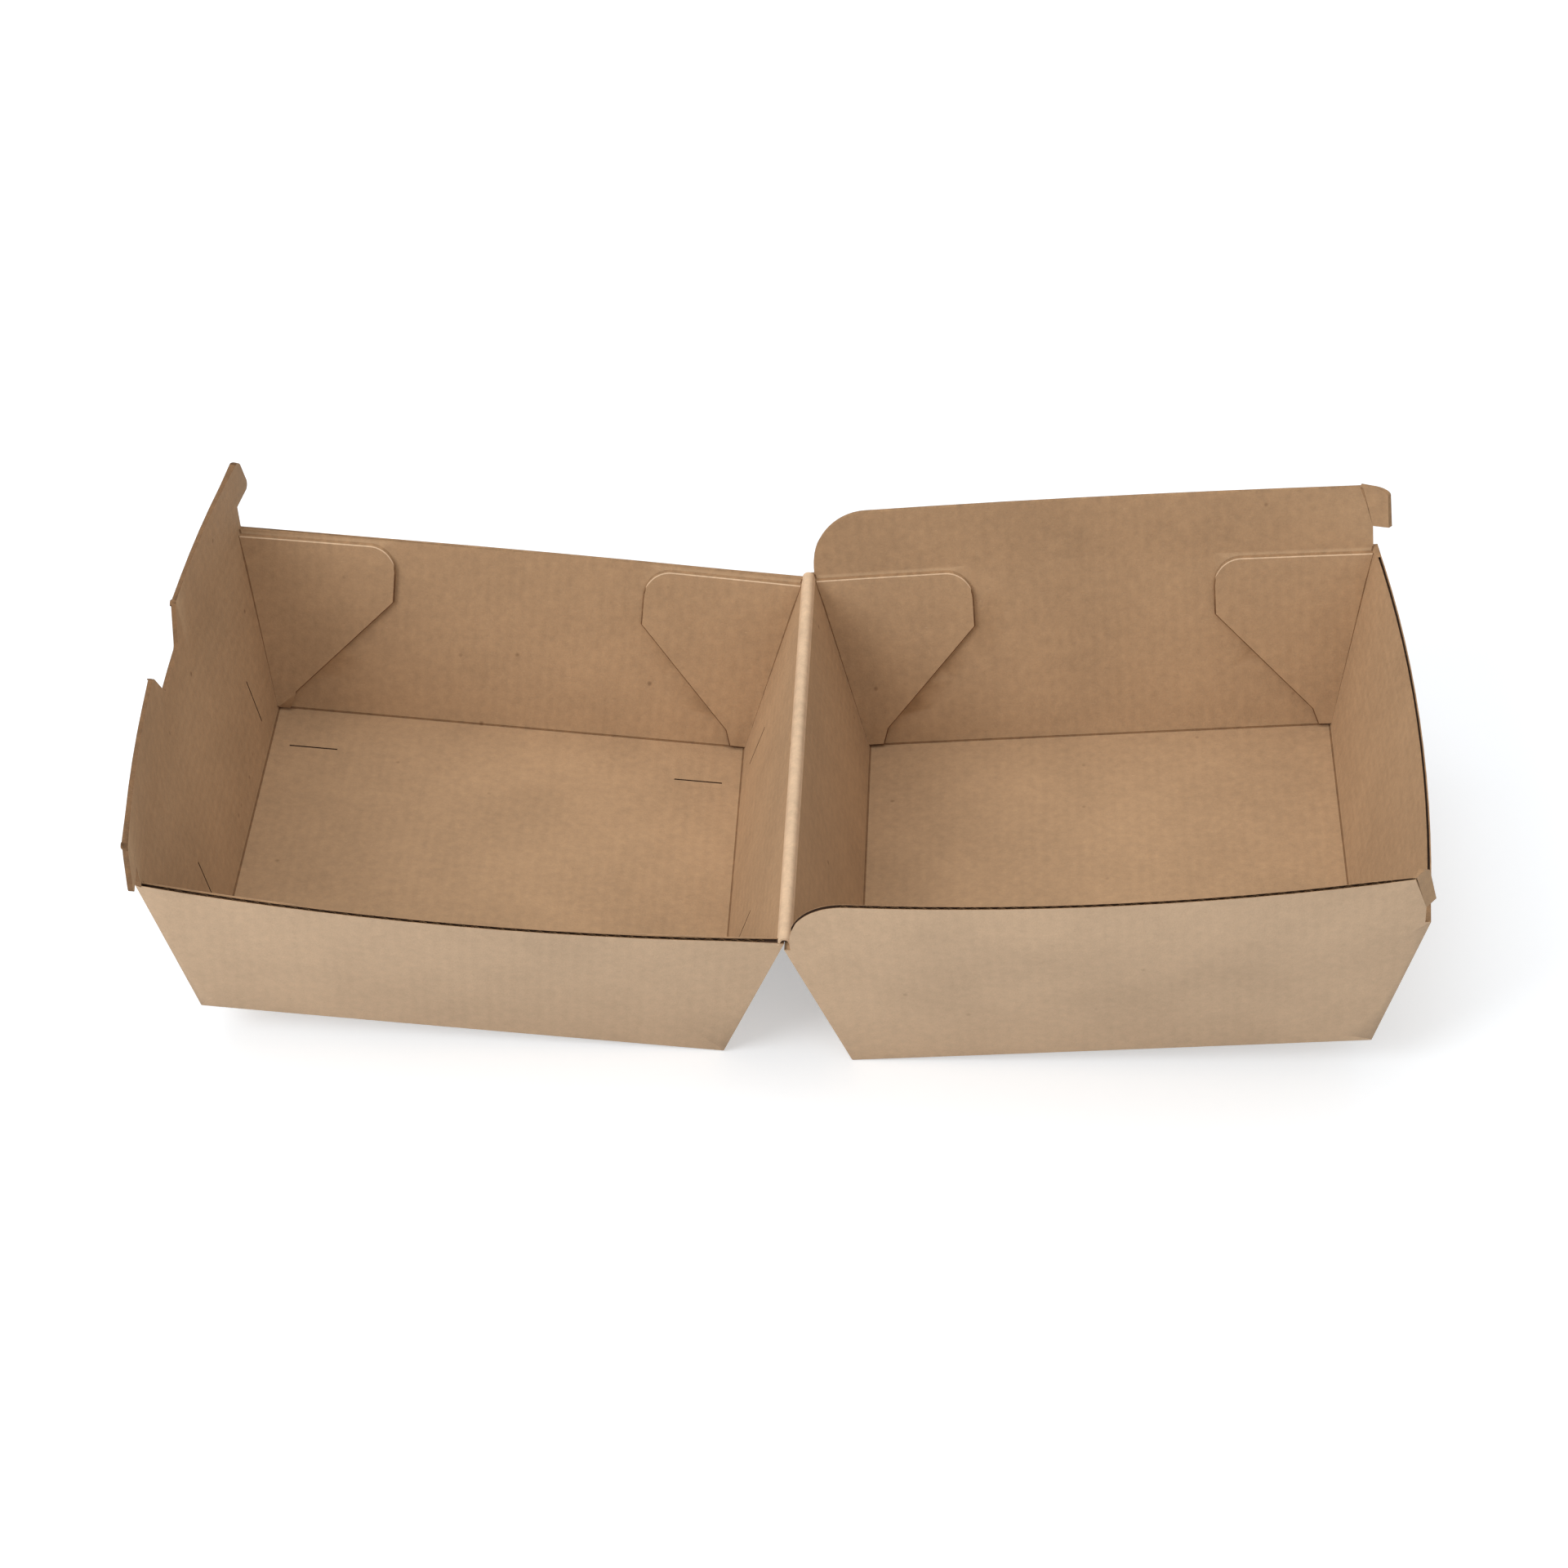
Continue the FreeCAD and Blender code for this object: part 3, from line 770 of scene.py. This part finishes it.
lid_longer = BOARD * math.hypot(1, END_SPREAD / HEIGHT) + LIP_GAP
lid_narrower = 2 * (BOARD * math.hypot(1, SIDE_SPREAD / HEIGHT) + FIT_GAP)
RIMS = {
    "base": {
        "level": WING_HEIGHT, "length": FLOOR_LENGTH, "depth": FLOOR_DEPTH,
        "bend": WING_BEND, "start": WING_RADIUS, "stops_short": 6 * MM,
    },
    "lid": {
        "level": 0.0, "length": FLOOR_LENGTH + lid_longer, "depth": FLOOR_DEPTH - lid_narrower,
        "bend": 0.0, "start": 4 * MM, "stops_short": 3 * MM,
    },
}


def rim_y(rim, side, x):
    """The middle of a bulging rim at one spot along it."""
    share = 1 + rim["level"] / HEIGHT
    near = BOARD - HINGE_SPREAD * rim["level"] / HEIGHT
    far = BOARD + HINGE_SPREAD + rim["length"] + END_SPREAD * share
    half = (far - near) / 2
    rise = (FRONT_BOW if side == FRONT else BACK_BOW) * share
    radius = (half ** 2 + rise ** 2) / (2 * rise)
    bulge = math.sqrt(radius ** 2 - (x - near - half) ** 2) - (radius - rise)
    return side * (rim["depth"] / 2 + SIDE_SPREAD * share - rim["bend"] + RIM_MIDDLE + bulge)


print("lid longer by", in_mm([lid_longer], 2), "and narrower by", in_mm([lid_narrower], 2), "mm")

# %% Fluting in the rims
FLUTE_RISE = 0.26 * MM
RIBBON_HEIGHT = 0.45 * MM
RIBBON_PAPER = 0.1 * MM
RIBBON_DROP = 0.04 * MM
STEPS_A_FLUTE = 8


def make_fluting(tray):
    rim = RIMS[tray]
    bm = bmesh.new()
    end = BOARD + HINGE_SPREAD + rim["length"] + END_SPREAD - rim["stops_short"]
    count = int((end - rim["start"]) / FLUTE_PITCH * STEPS_A_FLUTE)
    lean = SIDE_SPREAD / HEIGHT * RIBBON_HEIGHT
    for side in (FRONT, BACK):
        pairs = []
        for step in range(count + 1):
            x = rim["start"] + step * FLUTE_PITCH / STEPS_A_FLUTE
            y = rim_y(rim, side, x) + FLUTE_RISE * math.sin(math.tau * step / STEPS_A_FLUTE)
            top = Vector((x, y, rim["level"] - RIBBON_DROP))
            low = top - Vector((0, side * lean, RIBBON_HEIGHT))
            pairs.append([bm.verts.new(TRAYS[tray] @ spot) for spot in (top, low)])
        for (top, low), (next_top, next_low) in zip(pairs, pairs[1:]):
            bm.faces.new((top, low, next_low, next_top))
    bmesh.ops.solidify(bm, geom=bm.faces[:], thickness=RIBBON_PAPER)
    bmesh.ops.recalc_face_normals(bm, faces=bm.faces)
    lay_out(bm, tray)
    piece = object_of(bm, f"{tray}_fluting", [papers[CUT]], 60)
    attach(piece, tray)
    return piece


for tray in TRAYS:
    piece = make_fluting(tray)
    print(piece.name, len(piece.data.polygons), "faces")

# %% [markdown]
# ## Crest over the crease
# Where the trays meet, the inner liner bends over the top of both walls in a soft round.
# It belongs to both trays, so it is a strip that follows the base on one side and the lid
# on the other. A short line is spun about the crease from one wall's slope to the
# other's, and given the thickness of the crushed paper, in the pale stretched liner, which
# is also painted lighter as a highlight on the round. A dark core fills its hollow: it is
# painted shade, as in the hollows between the flutes. U runs across the strip in metres
# from its top and V along it, so that the fibres follow the fold.

# %% The round over the crease
CREST_PROUD = 0.04 * MM
CREST_STEPS = 14
crest_half = FLOOR_DEPTH / 2 + SIDE_SPREAD - FIT_GAP
crest_radius = BOARD + CREST_PROUD
wall_lean = math.atan2(HINGE_SPREAD, HEIGHT) + tilt


def half_round(radius, half, cuts):
    """A line along the crease, spun about it from the base's slope to the lid's."""
    bm = bmesh.new()
    lean = Matrix.Rotation(-wall_lean, 4, "Y")
    ends = [bm.verts.new(lean @ Vector((radius, side * half, 0))) for side in (FRONT, BACK)]
    bmesh.ops.subdivide_edges(bm, edges=[bm.edges.new(ends)], cuts=cuts)
    base_line = bm.edges[:]
    spun = bmesh.ops.spin(
        bm, geom=bm.verts[:] + bm.edges[:], cent=(0, 0, 0), axis=(0, -1, 0),
        angle=math.pi - 2 * wall_lean, steps=CREST_STEPS,
    )
    lid_line = [item for item in spun["geom_last"] if isinstance(item, bmesh.types.BMEdge)]
    return bm, base_line, lid_line


def face_outward(bm):
    for face in bm.faces:
        face.normal_update()
        if face.normal.dot(face.calc_center_median()) < 0:
            face.normal_flip()


def round_uv(bm):
    """U across the strip from its top, V along it, in metres."""
    uv = bm.loops.layers.uv.new("sheet")
    turn_end = math.pi / 2 - wall_lean
    for face in bm.faces:
        for loop in face.loops:
            spot = loop.vert.co
            turn = max(-turn_end, min(turn_end, math.atan2(spot.x, spot.z)))
            below = max(0, math.cos(turn_end) * crest_radius - spot.z)
            loop[uv].uv = (turn * crest_radius + math.copysign(below, turn), spot.y)


print("the round turns by", round(math.degrees(math.pi - 2 * wall_lean), 1), "degrees")

# %% Crest and its core
CREST_CUTS = 40
CREST_SKIRT = 0.9 * MM
CREST_PAPER = 0.45 * MM
CORE_BACK = 0.15 * MM


def crest_piece(bm, name, material):
    round_uv(bm)
    bmesh.ops.translate(bm, verts=bm.verts, vec=crease)
    piece = object_of(bm, name, [material], 50)
    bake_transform(piece)
    return piece


def make_crest():
    bm, base_line, lid_line = half_round(crest_radius, crest_half, CREST_CUTS)
    down_wall = Matrix.Rotation(-wall_lean, 4, "Y") @ Vector((0, 0, -CREST_SKIRT))
    for edges, fall in ((base_line, down_wall), (lid_line, Vector((-down_wall.x, 0, down_wall.z)))):
        skirt = bmesh.ops.extrude_edge_only(bm, edges=edges)["geom"]
        low = [item for item in skirt if isinstance(item, bmesh.types.BMVert)]
        bmesh.ops.translate(bm, verts=low, vec=fall)
    face_outward(bm)
    bmesh.ops.solidify(bm, geom=bm.faces[:], thickness=CREST_PAPER)
    # Pale stretched paper, also painted lighter as a highlight on the round.
    return crest_piece(bm, "crest_fold", papers[STRETCH_AND_HIGHLIGHT])


def make_shade_core():
    half = crest_half - CORE_BACK
    bm, _, _ = half_round(crest_radius - CREST_PAPER / 2, half, 1)
    for side in (FRONT, BACK):
        end = [vert for vert in bm.verts if vert.co.y * side > half / 2]
        end.sort(key=lambda vert: math.atan2(vert.co.x, vert.co.z))
        bm.faces.new(end)
    face_outward(bm)
    # The core is painted dark as the shade in the hollow under the round.
    return crest_piece(bm, "crest_shade_core", papers[HOLLOW_SHADE])


for piece in (make_crest(), make_shade_core()):
    print(piece.name, len(piece.data.polygons), "faces")

# %% [markdown]
# ## Studio
# A pale floor and soft light. The floor is a plain sheet that adds some white of its own
# only to what the camera sees directly or in a gloss, so that it reads as a white ground
# and still takes the box's shadow. The world is white behind everything in the same way,
# and lights softly from all round. The key light comes from the front left, as the shaded
# walls on that side say, with a weak fill from the front and a broad light from above.

# %% Floor
FLOOR_SIZE = 6.0
FLOOR_TONES = 0.75, 0.76
FLOOR_WARM, FLOOR_COOL = 0.955, 1.045
FLOOR_GLOW = 0.44
WHITE = (1, 1, 1, 1)


def seen(tree):
    """1 for what the camera sees, also through gloss or glass, and 0 for light on the box."""
    rays = tree.nodes.new("ShaderNodeLightPath").outputs
    direct = math_of(tree, "MAXIMUM", rays["Is Camera Ray"], rays["Is Glossy Ray"])
    return math_of(tree, "MAXIMUM", direct, rays["Is Transmission Ray"])


def floor_material():
    material = bpy.data.materials.new("studio_white")
    material.use_nodes = True
    tree = material.node_tree
    shader = tree.nodes["Principled BSDF"]
    shader.inputs["Roughness"].default_value = 0.9
    shader.inputs["Specular IOR Level"].default_value = 0.0
    place = tree.nodes.new("ShaderNodeTexCoord").outputs["Object"]
    tone = spread(tree, noise(tree, place, 3.0), 0.3, 0.7, *FLOOR_TONES)
    warm = math_of(tree, "MULTIPLY", tone, FLOOR_WARM)
    cool = math_of(tree, "MULTIPLY", tone, FLOOR_COOL)
    colour = put(tree, "CombineColor", {"Red": warm, "Green": tone, "Blue": cool})
    tree.links.new(colour, shader.inputs["Base Color"])
    shader.inputs["Emission Color"].default_value = WHITE
    glow = math_of(tree, "MULTIPLY", seen(tree), FLOOR_GLOW)
    tree.links.new(glow, shader.inputs["Emission Strength"])
    return material


ground = bmesh.new()
bmesh.ops.create_grid(ground, x_segments=1, y_segments=1, size=FLOOR_SIZE / 2)
object_of(ground, "studio_floor", [floor_material()])
print("floor", FLOOR_SIZE, "m")

# %% Lights and world
AIM = Vector((0, 0, 0.03))
LAMPS = {
    "key": {"at": (-1.1, -0.9, 1.1), "power": 15, "size": 0.9},
    "fill": {"at": (0.6, -1.4, 0.8), "power": 4, "size": 1.2},
    "top": {"at": (-0.2, 0.3, 1.6), "power": 9.5, "size": 1.4},
}
WORLD_LIGHT, WORLD_SEEN = 0.45, 1.0

for name, lamp in LAMPS.items():
    light = bpy.data.lights.new(name, "AREA")
    light.shape = "SQUARE"
    light.size = lamp["size"]
    light.energy = lamp["power"]
    holder = bpy.data.objects.new(name, light)
    bpy.context.scene.collection.objects.link(holder)
    at = Vector(lamp["at"])
    holder.matrix_world = Matrix.Translation(at) @ (AIM - at).to_track_quat("-Z", "Y").to_matrix().to_4x4()

world = bpy.data.worlds.new("studio")
bpy.context.scene.world = world
world.use_nodes = True
sky = world.node_tree.nodes["Background"]
sky.inputs["Color"].default_value = WHITE
strength = spread(world.node_tree, seen(world.node_tree), 0.0, 1.0, WORLD_LIGHT, WORLD_SEEN)
world.node_tree.links.new(strength, sky.inputs["Strength"])
bpy.context.scene.view_settings.view_transform = "Standard"
print("lamps", list(LAMPS))
